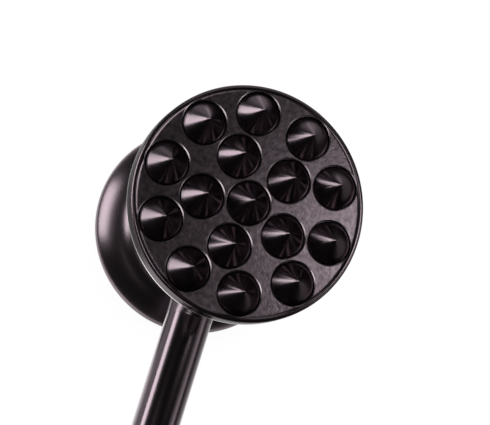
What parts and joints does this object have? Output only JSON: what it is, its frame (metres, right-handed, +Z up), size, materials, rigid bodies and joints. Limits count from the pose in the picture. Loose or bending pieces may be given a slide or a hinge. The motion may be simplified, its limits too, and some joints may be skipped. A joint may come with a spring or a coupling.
{
  "type": "meat mallet",
  "caption": "Round-headed meat mallet with a smooth face, a screwed plate of cone spikes, and a straight tube handle with a grip and a screwed end cap.",
  "frame": {"origin": "centre of the smooth pounding face", "axes": "+Z runs up the head from the smooth face to the spikes, and the handle leaves the head along -Y"},
  "size_m": [0.06, 0.2496, 0.0665],
  "materials": {
    "head_coating": "satin",
    "plate_coating": "satin",
    "handle_coating": "satin",
    "black_rubber": "matte",
    "bright_steel": "brushed",
    "pale_nylon": "matte",
    "black_grip": "matte",
    "cap_plastic": "satin"
  },
  "bodies": {
    "mallet": {"head_body": "head_coating", "handle_tube": "handle_coating", "tie_rod": "bright_steel", "head_nut": "bright_steel", "head_lock_washer": "bright_steel", "head_washer": "bright_steel", "rod_guide_bush": "pale_nylon", "grip_ferrule": "handle_coating", "grip_sleeve": "black_grip"},
    "plate_seal": {"plate_o_ring": "black_rubber"},
    "plate": {"spike_plate": "plate_coating", "plate_thread_ring": "bright_steel"},
    "cap_seal": {"end_washer": "black_rubber"},
    "cap": {"end_cap": "cap_plastic"}
  },
  "joints": [
    {"name": "spike_plate_lift", "type": "slide", "parent": "mallet", "child": "plate_seal", "axis": [0, 0, 1], "range_m": [0, 0.008]},
    {"name": "spike_plate_turn", "type": "hinge", "parent": "plate_seal", "child": "plate", "pos_m": [0, 0, 0.0546], "axis": [0, 0, 1], "range_deg": [0, 1440]},
    {"name": "end_cap_slide", "type": "slide", "parent": "mallet", "child": "cap_seal", "axis": [0, -1, 0], "range_m": [0, 0.004]},
    {"name": "end_cap_turn", "type": "hinge", "parent": "cap_seal", "child": "cap", "pos_m": [0, -0.1956, 0.03025], "axis": [0, -1, 0], "range_deg": [0, 1440]}
  ],
  "couplings": [
    {"joint": "spike_plate_lift", "follows": "spike_plate_turn", "m_per_rad": 0.00031831},
    {"joint": "end_cap_slide", "follows": "end_cap_turn", "m_per_rad": 0.00015915}
  ]
}
